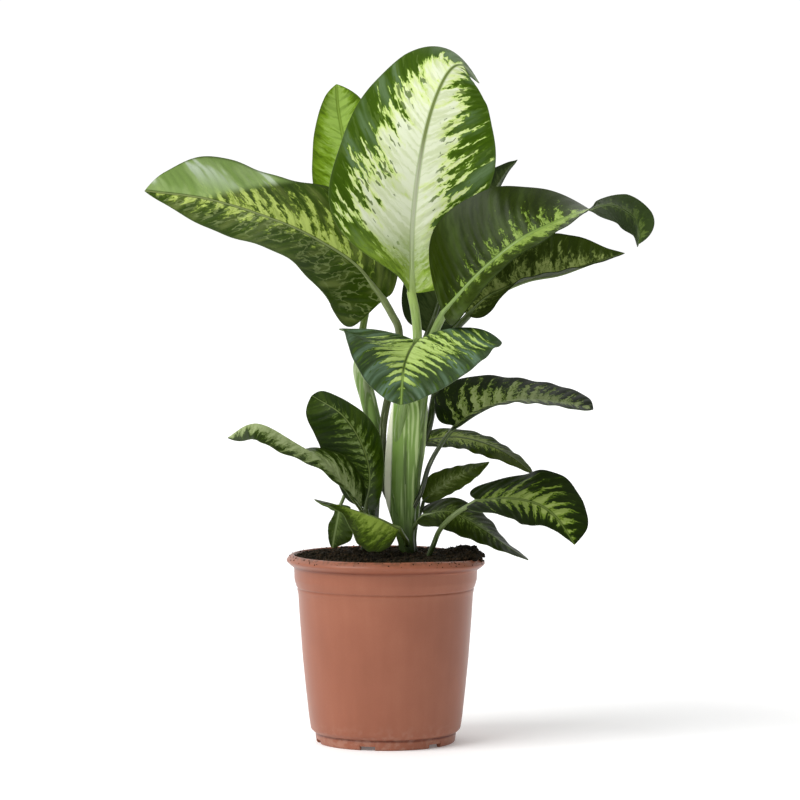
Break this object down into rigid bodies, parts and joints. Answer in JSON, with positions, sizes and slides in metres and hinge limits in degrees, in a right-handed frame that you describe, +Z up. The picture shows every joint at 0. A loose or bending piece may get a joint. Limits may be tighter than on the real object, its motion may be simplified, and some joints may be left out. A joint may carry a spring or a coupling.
{
  "type": "potted dieffenbachia",
  "caption": "House plant with large variegated leaves on upright canes, growing in a terracotta-coloured plastic pot full of soil.",
  "frame": {"origin": "on the pot's axis in the plane its foot ring stands on", "axes": "+Z up along the pot's axis, +X to the right and +Y away from the viewer of the reference picture"},
  "size_m": [0.485, 0.3013, 0.6804],
  "materials": {
    "pot_plastic": "satin terracotta-brown moulded plastic",
    "soil": "dark crumbly potting soil, matt",
    "cane": "smooth green stem tissue with paler sheath edges, satin",
    "leaf_cream": "waxy leaf, cream centre with a green margin",
    "leaf_yellow_green": "waxy young leaf, yellow-green",
    "leaf_mid_green": "waxy leaf, mid green with pale streaks",
    "leaf_dark_green": "waxy leaf, dark green with yellow-green streaks",
    "leaf_blue_green": "waxy leaf, blue-green with a cream feathered centre"
  },
  "bodies": {
    "root": {"pot": "pot_plastic", "soil": "soil", "cane_main": "cane", "cane_left": "cane", "leaf_centre": "leaf_cream", "leaf_young": "leaf_yellow_green", "leaf_left": "leaf_mid_green", "leaf_right": "leaf_dark_green", "leaf_right_lower": "leaf_dark_green", "leaf_back": "leaf_mid_green", "leaf_front": "leaf_blue_green", "leaf_low_dark_left": "leaf_dark_green", "leaf_low_arched_left": "leaf_mid_green", "leaf_low_front": "leaf_yellow_green", "leaf_low_hanging": "leaf_mid_green", "leaf_low_arched_right": "leaf_dark_green", "leaf_low_narrow_right": "leaf_mid_green", "leaf_low_small_right": "leaf_dark_green", "leaf_low_right": "leaf_mid_green", "leaf_low_inner_right": "leaf_mid_green"}
  },
  "joints": []
}
